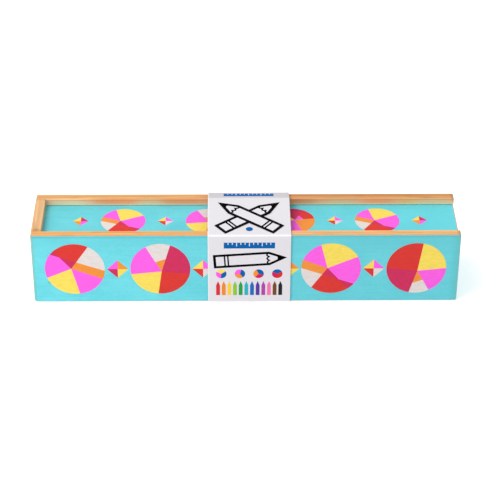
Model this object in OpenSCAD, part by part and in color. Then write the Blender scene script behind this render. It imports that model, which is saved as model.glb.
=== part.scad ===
// Long wooden pencil box with a lid that slides in grooves, in millimetres.
// A loose card sleeve goes round its middle, and it holds pencils, a ruler and a sharpener.
// X runs along the box, and the lid comes out towards +X. The front faces -Y and +Z is up.
// The origin is under the middle of the box, on the surface that it stands on.

/* [Pencils] */
// Diameter of a pencil
pencil_d = 7; // [6:0.5:9]
// Length of a pencil, from its blunt end to its point
pencil_l = 175; // [120:1:200]
// Diameter of the coloured core
pencil_core_d = 3; // [2:0.1:4]
// Length over which the wood would taper to nothing
pencil_taper_l = 22; // [16:1:30]
// Width of the blunted point
pencil_point_d = 0.8; // [0.4:0.1:1.5]
// Chamfer round the blunt end
pencil_chamfer = 0.4; // [0.2:0.1:1]
// Pencils side by side in a layer
pencils_across = 4; // [3:1:6]
// Layers of pencils
pencil_layers = 3; // [2:1:4]
// Gap between a pencil and what lies next to it
pencil_gap = 0.2; // [0.1:0.05:0.6]
// How far the pencils slide before they meet the sharpener
pencil_travel = 8.3; // [3:0.1:20]

/* [Ruler] */
// Length of the scale on the ruler
ruler_scale_l = 150; // [100:10:170]
// Bare wood past each end of the scale
ruler_margin = 4; // [2:0.5:8]
// Thickness of the ruler
ruler_t = 2.2; // [1.5:0.1:4]
// Width of the bevel along its front edge
ruler_bevel_w = 6; // [3:0.5:10]
// Thickness left at the bevelled edge
ruler_edge_t = 0.9; // [0.5:0.1:1.4]
// Gap beside the ruler, at each wall
ruler_side_gap = 1.5; // [0.5:0.1:4]
// Room for fingers between the ruler and the lid
finger_room_h = 3.5; // [2:0.1:10]

/* [Sharpener] */
// Length of the sharpener along its bore
sharpener_l = 25; // [22:0.5:28]
// Width of the sharpener
sharpener_w = 15.6; // [14:0.1:20]
// Metal left under the bore
sharpener_wall_t = 1.8; // [1:0.1:3]
// How much wider the mouth of the bore is than a pencil
sharpener_ease = 0.9; // [0.5:0.1:1.5]
// Depth of the finger scoop in each side
scoop_depth = 1.2; // [0.5:0.1:1.8]
// Radius of the finger scoops
scoop_r = 22; // [16:1:40]
// Length of the blade
blade_l = 21; // [16:0.5:21.5]
// Width of the blade
blade_w = 6.2; // [5:0.1:6.4]
// Thickness of the blade
blade_t = 0.6; // [0.4:0.1:1]
// Diameter of the screw's shank
screw_d = 2.2; // [1.6:0.1:2.6]
// Diameter of the screw's head
screw_head_d = 4.4; // [3.5:0.1:5]
// Height of the screw's head
screw_head_h = 1.2; // [0.8:0.1:2]
// Width of the slot in the screw's head
screw_slot_w = 0.8; // [0.5:0.1:1.2]
// Depth of the slot in the screw's head
screw_slot_depth = 0.7; // [0.3:0.1:0.7]
// Length of the screw's shank below the blade
screw_l = 3.6; // [2:0.1:4]

/* [Walls] */
// Thickness of the long walls
wall_t = 4.75; // [3.5:0.05:8]
// Thickness of the end walls
end_t = 5; // [3.5:0.05:8]
// Radius of the upright corners at the closed end
corner_r = 1.4; // [0.4:0.1:3]
// Radius of the corners at the mouth
mouth_corner_r = 0.8; // [0.4:0.1:3]
// Radius of the eased long edges
arris_r = 0.5; // [0.2:0.05:1]

/* [Floor] */
// Thickness of the floor panel
floor_t = 3; // [2:0.1:6]
// Height of the floor panel above the bottom edges
foot_h = 1.5; // [1:0.1:6]
// Depth of the floor's groove in the walls
floor_groove_d = 2.2; // [1:0.1:2.6]
// Gap at the edges of the floor, inside its groove
floor_edge_gap = 0.2; // [0.1:0.05:0.5]

/* [Lid] */
// Thickness of the lid
lid_t = 3; // [2:0.1:6]
// Depth of the lid's groove in the walls
lid_groove_d = 2.2; // [1:0.1:2.6]
// Gap over the lid in its groove
lid_gap = 0.3; // [0.1:0.05:0.8]
// Gap at the edges of the lid, inside its groove
lid_edge_gap = 0.3; // [0.1:0.05:0.6]
// Height of the wall above the lid's groove
lip_h = 3.5; // [2:0.1:8]
// How far the lid stops short of the wall ends
lid_setback = 0.2; // [0.1:0.1:2]
// Gap between the lid and the low end wall
low_wall_gap = 0.2; // [0.1:0.05:1]

/* [Sleeve] */
// Width of the card sleeve along the box
sleeve_w = 40.7; // [10:0.1:120]
// How far the sleeve sits from the middle, towards the mouth
sleeve_shift = 1.7; // [-20:0.1:20]
// Thickness of the card
card_t = 0.3; // [0.2:0.05:0.8]
// Gap between the sleeve and the long walls
sleeve_side_gap = 0.4; // [0.4:0.05:1.5]
// Gap between the sleeve and the top of the walls
sleeve_top_gap = 0.3; // [0.1:0.05:1.5]
// Inner radius of the folds
fold_r = 0.25; // [0.1:0.05:0.3]
// How far the slack top of the sleeve stands up at its crease
crease_h = 1.4; // [0.2:0.1:3]
// Distance of the crease from the back of the sleeve
crease_w = 7.5; // [3:0.5:20]
// Height of the glued tab inside the back of the sleeve
tab_h = 14; // [6:0.5:24]
// Gap between the glued tab and the back wall
tab_gap = 0.1; // [0.05:0.05:0.2]

/* [Clearances] */
// Gap between the contents and the end walls
end_gap = 0.5; // [0.2:0.1:2]
// Gap left when a sliding piece meets its stop
stop_gap = 0.3; // [0.1:0.05:1]
// Radial gap of a glued core or a screw in its hole
glue_gap = 0.02; // [0.01:0.01:0.1]

/* [Hidden] */
// Sides of a drawn circle
$fn = 64;
// How far a cut runs past the face that it opens
overrun = 1;

pencil_count = pencils_across * pencil_layers;
pencil_pitch = pencil_d + pencil_gap;
pencils_w = pencils_across * pencil_pitch + pencil_gap;
pencils_h = pencil_layers * pencil_pitch;
// How far behind the point the sharpened cone is as wide as d
function taper_at(d) = pencil_taper_l * (d - pencil_point_d) / pencil_d;

ruler_l = ruler_scale_l + 2 * ruler_margin;

// The hollow for the contents
inner_w = max(pencils_w, sharpener_l + 2 * end_gap);
bay_l = pencil_travel + stop_gap + sharpener_w + stop_gap;
inner_l = end_gap + max(pencil_l + bay_l, ruler_l + end_gap);
inner_h = pencils_h + pencil_gap + ruler_t + finger_room_h;

// The outside of the box
box_l = inner_l + 2 * end_t;
box_w = inner_w + 2 * wall_t;
box_h = foot_h + floor_t + inner_h + lid_t + lid_gap + lip_h;

// All four edges of a board eased alike
all_eased = [for (corner = [1 : 4]) arris_r];

// Heights above the surface that the sleeve stands on
base_z = card_t;
floor_z = base_z + foot_h;
inside_z = floor_z + floor_t;
lid_z = inside_z + inner_h;

// The ends of the hollow, where the contents and the lid are placed from
closed_x = -inner_l / 2;
mouth_x = inner_l / 2;
contents_x = closed_x + end_gap;
lid_x = closed_x - lid_groove_d + lid_edge_gap;
lid_l = box_l / 2 - lid_setback - lid_x;
lid_w = inner_w + 2 * (lid_groove_d - lid_edge_gap);

// The sleeve's inside
sleeve_in_w = box_w + 2 * sleeve_side_gap;
sleeve_in_h = box_h + sleeve_top_gap;
tab_t = sleeve_side_gap - tab_gap;

// The sharpener's bore, which tapers to nothing near its far end
bore_d = pencil_d + sharpener_ease;
bore_axis_z = sharpener_wall_t + bore_d / 2;
bore_taper_share = 0.96;
bore_l = sharpener_l * bore_taper_share;
bore_tip_share = 0.07;
bore_tip_d = bore_d * bore_tip_share;
blade_slope = atan(bore_d / 2 / bore_l);
blade_start = (sharpener_l - blade_l) / 2;
// The screw stands halfway along the blade, and a little nearer its back edge
screw_along = sharpener_l / 2;
screw_side_share = 0.55;
screw_side = blade_w * screw_side_share;
// The window beside the blade's edge, through which the shavings leave
window_w_share = 0.28;
window_w = sharpener_w * window_w_share;
window_depth_share = 0.32;
window_depth = bore_d * window_depth_share;
window_rim_share = 0.12;
window_rim = sharpener_l * window_rim_share;

PAINT = "#76DCE5";
FLOOR_PLY = "#DDB27A";
CARD = "#E4E0E5";
RULER_WOOD = "#E2BE8A";
BARE_METAL = "#B9BCC0";
BLADE_STEEL = "#8E9398";
PENCIL_COLOURS = [
    "#D8343A", "#F08A2C", "#F6CF3C", "#8CC63F", "#2E9E4F", "#35B3C5",
    "#2B6CB8", "#5B3FA0", "#B04AA8", "#F07AB0", "#7A4A2A", "#2A2A2C"
];

function pencil_name(n) = str("pencil_", n < 10 ? "0" : "", n);

// What a rounded corner leaves over, for a corner at the origin with the shape above it
module corner_waste(r) {
    difference() {
        translate([-overrun, -overrun]) square(overrun + r);
        translate([r, r]) circle(r = r);
    }
}

// A rectangle from the origin, its corners rounded by low left, low right, high right, high left
module eased_rect(l, w, radii) {
    difference() {
        square([l, w]);
        corner_waste(radii[0]);
        translate([l, 0]) mirror([1, 0]) corner_waste(radii[1]);
        translate([l, w]) rotate(180) corner_waste(radii[2]);
        translate([0, w]) mirror([0, 1]) corner_waste(radii[3]);
    }
}

// Carries an outline drawn as [y, z] along X, from x to x + l
module along_x(x, l) {
    translate([x, 0, 0]) rotate([90, 0, 90]) linear_extrude(l) children();
}

// Carries an outline drawn as [x, z] along Y, from y to y + w
module along_y(y, w) {
    translate([0, y + w, 0]) rotate([90, 0, 0]) linear_extrude(w) children();
}

// A groove round the inside of the hollow, as a slab that reaches into the walls
module groove_slab(z, h, depth, mouth_reach) {
    translate([closed_x - depth, -inner_w / 2 - depth, z])
        cube([inner_l + depth + mouth_reach, inner_w + 2 * depth, h]);
}

module floor_groove() {
    groove_slab(floor_z, floor_t, floor_groove_d, floor_groove_d);
}

// The lid's groove is open at the mouth
module lid_groove() {
    groove_slab(lid_z, lid_t + lid_gap, lid_groove_d, end_t + overrun);
}

// The back wall
module long_wall() {
    color(PAINT)
    difference() {
        intersection() {
            along_x(-box_l / 2, box_l)
                translate([inner_w / 2, base_z])
                    eased_rect(wall_t, box_h, all_eased);
            translate([-box_l / 2, inner_w / 2, base_z])
                linear_extrude(box_h)
                    eased_rect(box_l, wall_t, [arris_r, arris_r, mouth_corner_r, corner_r]);
            along_y(inner_w / 2, wall_t)
                translate([-box_l / 2, base_z])
                    eased_rect(box_l, box_h, [corner_r, corner_r, mouth_corner_r, corner_r / 2]);
        }
        floor_groove();
        lid_groove();
    }
}

module front_wall() {
    mirror([0, 1, 0]) long_wall();
}

module back_wall() {
    long_wall();
}

// The closed end wall stands between the long walls, as high as they are
module closed_end_wall() {
    color(PAINT)
    difference() {
        along_y(-inner_w / 2, inner_w)
            translate([-box_l / 2, base_z])
                eased_rect(end_t, box_h, all_eased);
        floor_groove();
        lid_groove();
    }
}

// The low end wall ends just under the lid, so that the lid slides out over it
module low_end_wall() {
    color(PAINT)
    difference() {
        along_y(-inner_w / 2, inner_w)
            translate([mouth_x, base_z])
                eased_rect(end_t, lid_z - low_wall_gap - base_z, all_eased);
        floor_groove();
    }
}

module floor_panel() {
    reach = floor_groove_d - floor_edge_gap;
    color(FLOOR_PLY)
        translate([closed_x - reach, -inner_w / 2 - reach, floor_z])
            cube([inner_l + 2 * reach, inner_w + 2 * reach, floor_t]);
}

// A flat board with its edge at the mouth eased
module lid() {
    color(PAINT)
        along_y(-lid_w / 2, lid_w)
            translate([lid_x, lid_z])
                eased_rect(lid_l, lid_t, [arris_r / 2, arris_r, arris_r, arris_r / 2]);
}

// One face of the sleeve as [y, z], its slack top standing up to a crease at back_w from its back
module sleeve_outline(w, h, r, back_w) {
    eased_rect(w, h, [for (corner = [1 : 4]) r]);
    polygon([[r, h - r], [w - r, h - r], [w - r, h], [w - back_w, h + crease_h], [r, h]]);
}

// A strip of card folded round the box, its ends glued together inside the back
module sleeve() {
    color(CARD)
    along_x(sleeve_shift - sleeve_w / 2, sleeve_w) {
        difference() {
            translate([-sleeve_in_w / 2 - card_t, 0])
                sleeve_outline(sleeve_in_w + 2 * card_t, sleeve_in_h + 2 * card_t, fold_r + card_t, crease_w);
            translate([-sleeve_in_w / 2, card_t])
                sleeve_outline(sleeve_in_w, sleeve_in_h, fold_r, crease_w - card_t);
        }
        translate([sleeve_in_w / 2 - tab_t, base_z + corner_r])
            square([tab_t + card_t / 2, tab_h]);
    }
}

// Puts a shape drawn up from the origin where pencil n lies, its point towards the closed end
module at_pencil(n) {
    across = (n - 1) % pencils_across;
    layer = floor((n - 1) / pencils_across);
    translate([
        contents_x,
        (across - (pencils_across - 1) / 2) * pencil_pitch,
        inside_z + pencil_gap + pencil_d / 2 + layer * pencil_pitch
    ])
        rotate([0, 90, 0]) children();
}

// Wood turned round the core, with the sharpened cone at one end and a chamfer at the other
module pencil_casing(n) {
    bore = pencil_core_d + 2 * glue_gap;
    color(PENCIL_COLOURS[(n - 1) % len(PENCIL_COLOURS)])
    at_pencil(n)
        rotate_extrude()
            polygon([
                [bore / 2, taper_at(bore)],
                [pencil_d / 2, taper_at(pencil_d)],
                [pencil_d / 2, pencil_l - pencil_chamfer],
                [pencil_d / 2 - pencil_chamfer, pencil_l],
                [bore / 2, pencil_l]
            ]);
}

module pencil_core(n) {
    color(PENCIL_COLOURS[(n - 1) % len(PENCIL_COLOURS)])
    at_pencil(n)
        rotate_extrude()
            polygon([
                [0, 0],
                [pencil_point_d / 2, 0],
                [pencil_core_d / 2, taper_at(pencil_core_d)],
                [pencil_core_d / 2, pencil_l],
                [0, pencil_l]
            ]);
}

// The ruler lies on the top layer, its bevelled edge to the front
module ruler() {
    ruler_w = inner_w - 2 * ruler_side_gap;
    color(RULER_WOOD)
        along_x(contents_x, ruler_l)
            translate([-ruler_w / 2, inside_z + pencils_h + pencil_gap])
                polygon([
                    [0, 0],
                    [ruler_w, 0],
                    [ruler_w, ruler_t],
                    [ruler_bevel_w, ruler_t],
                    [0, ruler_edge_t]
                ]);
}

// Puts a sharpener drawn along +X from the origin across the bay, against the low end wall
module in_bay() {
    translate([mouth_x - stop_gap - sharpener_w / 2, -sharpener_l / 2, inside_z])
        rotate([0, 0, 90]) children();
}

// Puts a shape on the sharpener's sloping top, which follows the taper of the bore
module on_slope() {
    translate([0, 0, sharpener_wall_t + bore_d]) rotate([0, blade_slope, 0]) children();
}

// Puts a shape where the screw goes through the sloping top
module screw_place() {
    on_slope() translate([screw_along, screw_side, 0]) children();
}

module sharpener_body() {
    drop = tan(blade_slope) * sharpener_l;
    top_h = sharpener_wall_t + bore_d;
    color(BARE_METAL)
    in_bay()
        difference() {
            along_y(-sharpener_w / 2, sharpener_w)
                polygon([[0, 0], [sharpener_l, 0], [sharpener_l, top_h - drop], [0, top_h]]);
            translate([0, 0, bore_axis_z])
                rotate([0, 90, 0])
                    cylinder(h = bore_l, d1 = bore_d, d2 = bore_tip_d);
            on_slope()
                translate([window_rim, -window_w, -window_depth])
                    cube([sharpener_l, window_w, window_depth + overrun]);
            for (side = [-1, 1])
                translate([sharpener_l / 2, side * (sharpener_w / 2 + scoop_r - scoop_depth), -overrun])
                    cylinder(h = top_h + 2 * overrun, r = scoop_r);
            screw_place()
                translate([0, 0, -screw_l - glue_gap])
                    cylinder(h = screw_l + overrun, d = screw_d + 2 * glue_gap);
        }
}

// The blade lies on the slope with its edge over the bore's highest line
module sharpener_blade() {
    color(BLADE_STEEL)
    in_bay()
        difference() {
            on_slope()
                translate([blade_start, 0, 0])
                    cube([blade_l, blade_w, blade_t]);
            screw_place()
                translate([0, 0, -overrun])
                    cylinder(h = blade_t + 2 * overrun, d = screw_d + 2 * glue_gap);
        }
}

module sharpener_screw() {
    color(BARE_METAL)
    in_bay() screw_place() {
        translate([0, 0, -screw_l])
            cylinder(h = screw_l + blade_t, d = screw_d);
        translate([0, 0, blade_t])
            difference() {
                cylinder(h = screw_head_h, d1 = screw_head_d, d2 = screw_head_d - screw_head_h);
                translate([-screw_head_d / 2, -screw_slot_w / 2, screw_head_h - screw_slot_depth])
                    cube([screw_head_d, screw_slot_w, screw_slot_depth + overrun]);
            }
    }
}

front_wall();
back_wall();
closed_end_wall();
low_end_wall();
floor_panel();
lid();
sleeve();
for (n = [1 : pencil_count]) {
    pencil_casing(n);
    pencil_core(n);
}
ruler();
sharpener_body();
sharpener_blade();
sharpener_screw();
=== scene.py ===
"""The looks of a long painted pencil box: paint, print, bare pine, a card sleeve and what it holds."""

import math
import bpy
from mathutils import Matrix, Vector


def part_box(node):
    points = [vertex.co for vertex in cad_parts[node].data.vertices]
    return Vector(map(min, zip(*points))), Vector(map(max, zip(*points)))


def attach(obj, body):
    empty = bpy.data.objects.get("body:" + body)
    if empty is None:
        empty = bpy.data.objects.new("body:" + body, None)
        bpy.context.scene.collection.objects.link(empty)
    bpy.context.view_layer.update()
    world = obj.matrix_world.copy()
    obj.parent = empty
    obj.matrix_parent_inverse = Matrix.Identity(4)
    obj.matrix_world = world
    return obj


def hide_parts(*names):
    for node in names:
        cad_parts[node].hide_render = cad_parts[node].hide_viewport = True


bl_info = {
    "name": "Wooden pencil box",
    "version": (1, 0, 0),
    "blender": (4, 5, 0),
    "location": "3D View > Sidebar > Pencil Box",
    "description": "Finishes a sliding-lid pencil box with its sleeve, pencils, ruler and sharpener",
    "category": "Object",
}

import bmesh
import bpy
import numpy as np
from mathutils import Matrix, Vector
from mathutils.geometry import delaunay_2d_cdt

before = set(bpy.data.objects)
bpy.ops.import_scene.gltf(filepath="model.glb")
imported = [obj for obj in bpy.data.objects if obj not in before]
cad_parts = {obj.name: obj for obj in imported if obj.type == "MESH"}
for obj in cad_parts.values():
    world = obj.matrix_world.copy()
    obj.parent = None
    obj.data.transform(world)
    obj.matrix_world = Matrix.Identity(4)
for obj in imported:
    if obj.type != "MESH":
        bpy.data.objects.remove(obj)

MM = 0.001
PENCILS = sorted({name[:9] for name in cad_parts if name.startswith("pencil_")})


def linear(code):
    """The linear colour of an sRGB hex code, with alpha 1."""
    parts = np.array([int(code[i : i + 2], 16) for i in (1, 3, 5)]) / 255
    low, high = parts / 12.92, ((parts + 0.055) / 1.055) ** 2.4
    return (*np.where(parts <= 0.04045, low, high).tolist(), 1.0)


def corners(*names):
    """The lowest and highest corner of these nodes together, as arrays in metres."""
    boxes = np.array([[tuple(end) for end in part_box(name)] for name in names])
    return boxes[:, 0].min(0), boxes[:, 1].max(0)


# The places that the pieces follow, all read from the frame
BOX_LOW, BOX_HIGH = corners("front_wall", "back_wall", "closed_end_wall", "low_end_wall")
LID_HIGH = corners("lid")[1]
SLEEVE_LOW, SLEEVE_HIGH = corners("sleeve")
INNER_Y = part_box("back_wall")[0].y


# Settings that a user would change


def length(name, description, default):
    """A length property, given in millimetres."""
    return bpy.props.FloatProperty(
        name=name, description=description, default=default * MM, unit="LENGTH", precision=5, min=0
    )


def angle(name, description, degrees):
    """An angle property, given in degrees."""
    return bpy.props.FloatProperty(
        name=name, description=description, default=math.radians(degrees), subtype="ANGLE"
    )


def amount(name, description, default, low=0.0, **more):
    """A plain number, with its limits and, where one fits, its unit or subtype."""
    return bpy.props.FloatProperty(name=name, description=description, default=default, min=low, **more)


def colour(name, description, code):
    """A colour property, given as an sRGB hex code."""
    return bpy.props.FloatVectorProperty(
        name=name, description=description, default=linear(code), size=4, subtype="COLOR", min=0, max=1
    )


class PENCILBOX_PG_stage(bpy.types.PropertyGroup):
    """The camera, the lamps and the floor."""

    camera_place: bpy.props.FloatVectorProperty(
        name="Camera place",
        description="Where the camera stands, from under the middle of the box",
        default=(-9.9 * MM, -741.3 * MM, 513.3 * MM),
        subtype="TRANSLATION",
        unit="LENGTH",
    )
    pitch: angle("Pitch", "How far the camera looks down", 33.639)
    yaw: angle("Yaw", "How far the camera turns to the right", 0.809)
    roll: angle("Roll", "How far the camera leans to the left", 0.267)
    lens: amount("Lens", "Focal length on a 36 mm sensor", 129.8, 1.0, subtype="DISTANCE_CAMERA")
    floor_colour: colour("Floor", "Colour of the studio floor", "#F4F4F4")
    sky: amount("Sky", "Light from all round", 0.66)
    key: amount("Key", "Power of the far lamp, high at the left", 22.3, unit="POWER")
    fill: amount("Fill", "Power of the near lamp, low at the front left", 0.76, unit="POWER")


class PENCILBOX_PG_wood(bpy.types.PropertyGroup):
    """The bare pine and its paint."""

    paint: colour("Paint", "Colour of the acrylic paint", "#73DFE9")
    paint_shade: colour("Thin paint", "Colour of the paint where it lies thin over the grain", "#62D2DE")
    early: colour("Early wood", "Colour of the pale part of a growth ring", "#FBC785")
    late: colour("Late wood", "Colour of the dark part of a growth ring", "#DD9146")
    resin: colour("Resin", "Colour of the reddish streaks", "#C9783F")
    ring: length("Ring", "Thickness of a growth ring", 1.9)
    bare_edge: length("Bare edge", "Height that sanding has bared below the top edges", 0.04)
    bare_end: length("Bare end", "Width that sanding has bared on the lid, along its mouth end", 0.45)
    worn_height: length("Worn height", "How far down sanding has gone through the upright corners", 11.0)


class PENCILBOX_PG_print(bpy.types.PropertyGroup):
    """The block pattern printed on the walls and the lid."""

    disc_share: amount(
        "Disc", "Share of a face's height that a disc takes", 0.76, 0.2, max=0.95, subtype="FACTOR"
    )
    diamond_share: amount(
        "Diamond", "Share of a face's height that a diamond takes", 0.27, 0.1, max=0.9, subtype="FACTOR"
    )
    pitch: length("Pitch", "Distance from one disc to the next", 42.0)
    ink_depth: length("Ink", "Thickness of the ink", 0.03)
    pink: colour("Pink", "First ink", "#FF60E6")
    crimson: colour("Crimson", "Second ink", "#D1265B")
    yellow: colour("Yellow", "Third ink", "#FBDF5E")
    orange: colour("Orange", "Fourth ink", "#F49337")
    red: colour("Red", "Fifth ink", "#DE3129")
    white: colour("White", "Sixth ink", "#E5DCD8")


class PENCILBOX_PG_sleeve(bpy.types.PropertyGroup):
    """The card sleeve and what is printed on it."""

    card: colour("Card", "Colour of the card", "#E3E0E5")
    fold_colour: colour("Fold", "Colour of the card where a fold has cracked it", "#FFFFFF")
    crease_from_back: length("Crease", "Distance of the top's slack crease from the back fold", 7.5)
    crease_rise: length("Crease rise", "How far the slack card stands up at that crease", 1.4)
    bow: length("Bow", "How far the slack top sinks between its fold and its crease", 0.25)
    fold_radius: length("Fold radius", "Radius of a sharp fold, at the middle of the card", 0.3)
    tab_top: length("Tab top", "Height of the glued tab's upper edge over the foot of the box", 15.4)
    black: colour("Black", "Ink of the line drawings", "#040405")
    blue: colour("Blue", "Ink of the drawn rulers", "#0E62AA")
    line: length("Line", "Thickness of a drawn line", 1.3)


class PENCILBOX_PG_contents(bpy.types.PropertyGroup):
    """The pencils, the ruler and the sharpener."""

    cedar: colour("Cedar", "Colour of the sharpened wood", "#DDB184")
    ruler_wood: colour("Ruler", "Colour of the beech of the ruler", "#E3C093")
    ruler_ink: colour("Ruler ink", "Colour of its scale", "#1B1A1C")
    metal: colour("Metal", "Colour of the sharpener's body", "#B9BCC0")
    steel: colour("Steel", "Colour of the blade and the screw", "#8E9398")


# The colours of the pencils, in order
PENCIL_LACQUERS = (
    "#D8343A", "#F08A2C", "#F6CF3C", "#8CC63F", "#2E9E4F", "#35B3C5",
    "#2B6CB8", "#5B3FA0", "#B04AA8", "#F07AB0", "#7A4A2A", "#2A2A2C",
)


def settings(group):
    """One of this object's groups of settings."""
    return getattr(bpy.context.scene, f"pencil_box_{group}")


# Materials

# A MapRange node's inputs are a value, the range that it is in, and the range that it is brought to, which is
# from 0 to 1 where it is left out. A Mix node's are its factor, at 0, and its colours, at 6 and 7. This is
# what makes it mix colours: its mode, and the output that then holds the result.
COLOURS = {"data_type": "RGBA", "out": 2}


def add(tree, kind, inputs=(), out=0, **attributes):
    """A new shader node of that kind, with its attributes set, and its inputs, by number or by name, set or
    linked. Gives the output that is asked for, or the node itself where out is None."""
    made = tree.nodes.new("ShaderNode" + kind)
    for key, value in attributes.items():
        setattr(made, key, value)
    for key, value in inputs.items() if isinstance(inputs, dict) else enumerate(inputs):
        if isinstance(value, bpy.types.NodeSocket):
            tree.links.new(value, made.inputs[key])
        else:
            made.inputs[key].default_value = value
    return made if out is None else made.outputs[out]


def empty_tree(holder):
    """The node tree of a new material or world, with nothing in it."""
    holder.use_nodes = True
    holder.node_tree.nodes.clear()
    return holder.node_tree


def new_material(name):
    """An empty material with its tree, and the place of a point in millimetres."""
    material = bpy.data.materials.new(name)
    tree = empty_tree(material)
    place = add(tree, "TexCoord", out="Object")
    return material, tree, add(tree, "VectorMath", {0: place, "Scale": 1 / MM}, operation="SCALE")


def finish(material, height, depth_mm, strength, sockets):
    """Ends a material in its surface shader, with a fine relief of that depth and strength."""
    tree = material.node_tree
    relief = add(tree, "Bump", {"Height": height, "Distance": depth_mm * MM, "Strength": strength})
    surface = add(tree, "BsdfPrincipled", {**sockets, "Normal": relief})
    add(tree, "OutputMaterial", (surface,), None)
    return material


def streaks(tree, place_mm, sizes, detail=2.0, roughness=0.5):
    """Noise whose blobs have these sizes in millimetres along X, Y and Z: value near 0.5."""
    scaled = add(tree, "VectorMath", (place_mm, tuple(1 / s for s in sizes)), operation="MULTIPLY")
    return add(tree, "TexNoise", {"Vector": scaled, "Scale": 1.0, "Detail": detail, "Roughness": roughness})


def shaded(tree, under, shade):
    """A colour darkened to that share of itself."""
    grey = add(tree, "CombineColor", (shade, shade, shade))
    return add(tree, "Mix", {0: 1.0, 6: under, 7: grey}, blend_type="MULTIPLY", **COLOURS)


def mottled(tree, under, noise, dark, light=1.0):
    """A colour shaded by a noise, to its dark share where that is low and to its light share where high."""
    return shaded(tree, under, add(tree, "MapRange", (noise, 0.3, 0.7, dark, light)))


def laid_over(tree, under, over, guide, low, high, strength=1.0):
    """One colour laid over another by a guiding value: none of it at low, and that much of it at high."""
    cover = add(tree, "MapRange", (guide, low, high, 0.0, strength))
    return add(tree, "Mix", {0: cover, 6: under, 7: over}, **COLOURS)


def smudge(tree, place_mm, under, centre, reach, code, strength):
    """A soft spot of another colour on a surface, inside the ball or egg of that reach in millimetres."""
    offset = add(tree, "VectorMath", (place_mm, centre), operation="SUBTRACT")
    shares = add(tree, "VectorMath", (offset, reach), operation="DIVIDE")
    away = add(tree, "VectorMath", (shares,), "Value", operation="LENGTH")
    return laid_over(tree, under, linear(code), away, 1.0, 0.4, strength)


def pine_figure(tree, place_mm, facing, along, pith, seed):
    """Solid pine as colour and height: growth rings are cylinders round a pith line that runs along the
    board, bent by slow noise. Fine fibres are drawn out along the board, and end grain is darker."""
    wood = settings("wood")
    lengthways, crossways = (0, 1) if along == "X" else (1, 0)
    shifted = add(tree, "VectorMath", (place_mm, (seed * 37.0, seed * 11.0, seed * 5.0)))

    def drawn_out(length_mm, width_mm, *more):
        """Noise drawn out along the board."""
        sizes = [width_mm] * 3
        sizes[lengthways] = length_mm
        return streaks(tree, shifted, sizes, *more)

    parts = add(tree, "SeparateXYZ", (place_mm,), None).outputs
    across = add(tree, "Math", (parts[crossways], pith[0]), operation="SUBTRACT")
    up = add(tree, "Math", (parts[2], pith[1]), operation="SUBTRACT")
    flat = add(tree, "CombineXYZ", (across, up))
    radius = add(tree, "VectorMath", (flat,), "Value", operation="LENGTH")
    warp = add(tree, "MapRange", (drawn_out(200, 12), 0.2, 0.8, -1.6, 1.6))
    bent = add(tree, "Math", (radius, warp), operation="ADD")
    counted = add(tree, "Math", (bent, wood.ring / MM), operation="DIVIDE")
    turns = add(tree, "Math", (counted,), operation="FRACT")
    rise = add(tree, "MapRange", (turns, 0.25, 0.85))
    steep = add(tree, "Math", (rise, 1.6), operation="POWER")
    fall = add(tree, "MapRange", (turns, 0.86, 1.0, 1.0, 0.0))
    rings = add(tree, "Math", (steep, fall), operation="MULTIPLY")
    dark = add(tree, "Math", (rings, 0.8), operation="MULTIPLY")
    ringed = add(tree, "Mix", {0: dark, 6: tuple(wood.early), 7: tuple(wood.late)}, **COLOURS)
    streaked = laid_over(tree, ringed, tuple(wood.resin), drawn_out(17, 3.2), 0.58, 0.78, 0.75)
    # Real fibres are 0.03 mm wide, and these are as coarse as they need to be to show
    fibres = drawn_out(16, 0.42, 3.0, 0.65)
    fine = add(tree, "MapRange", (fibres, 0.3, 0.7, 0.84, 1.08))
    coarse = add(tree, "MapRange", (drawn_out(20, 1.0), 0.34, 0.66, 0.86, 1.05))
    end_on = add(tree, "Math", (facing[lengthways],), operation="ABSOLUTE")
    end_grain = add(tree, "MapRange", (end_on, 0.5, 0.8, 1.0, 0.72))
    shade = add(tree, "Math", (fine, coarse), operation="MULTIPLY")
    shade = add(tree, "Math", (shade, end_grain), operation="MULTIPLY")
    height = add(tree, "Math", (rings, 0.5, fibres), operation="MULTIPLY_ADD")
    return shaded(tree, streaked, shade), height


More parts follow.
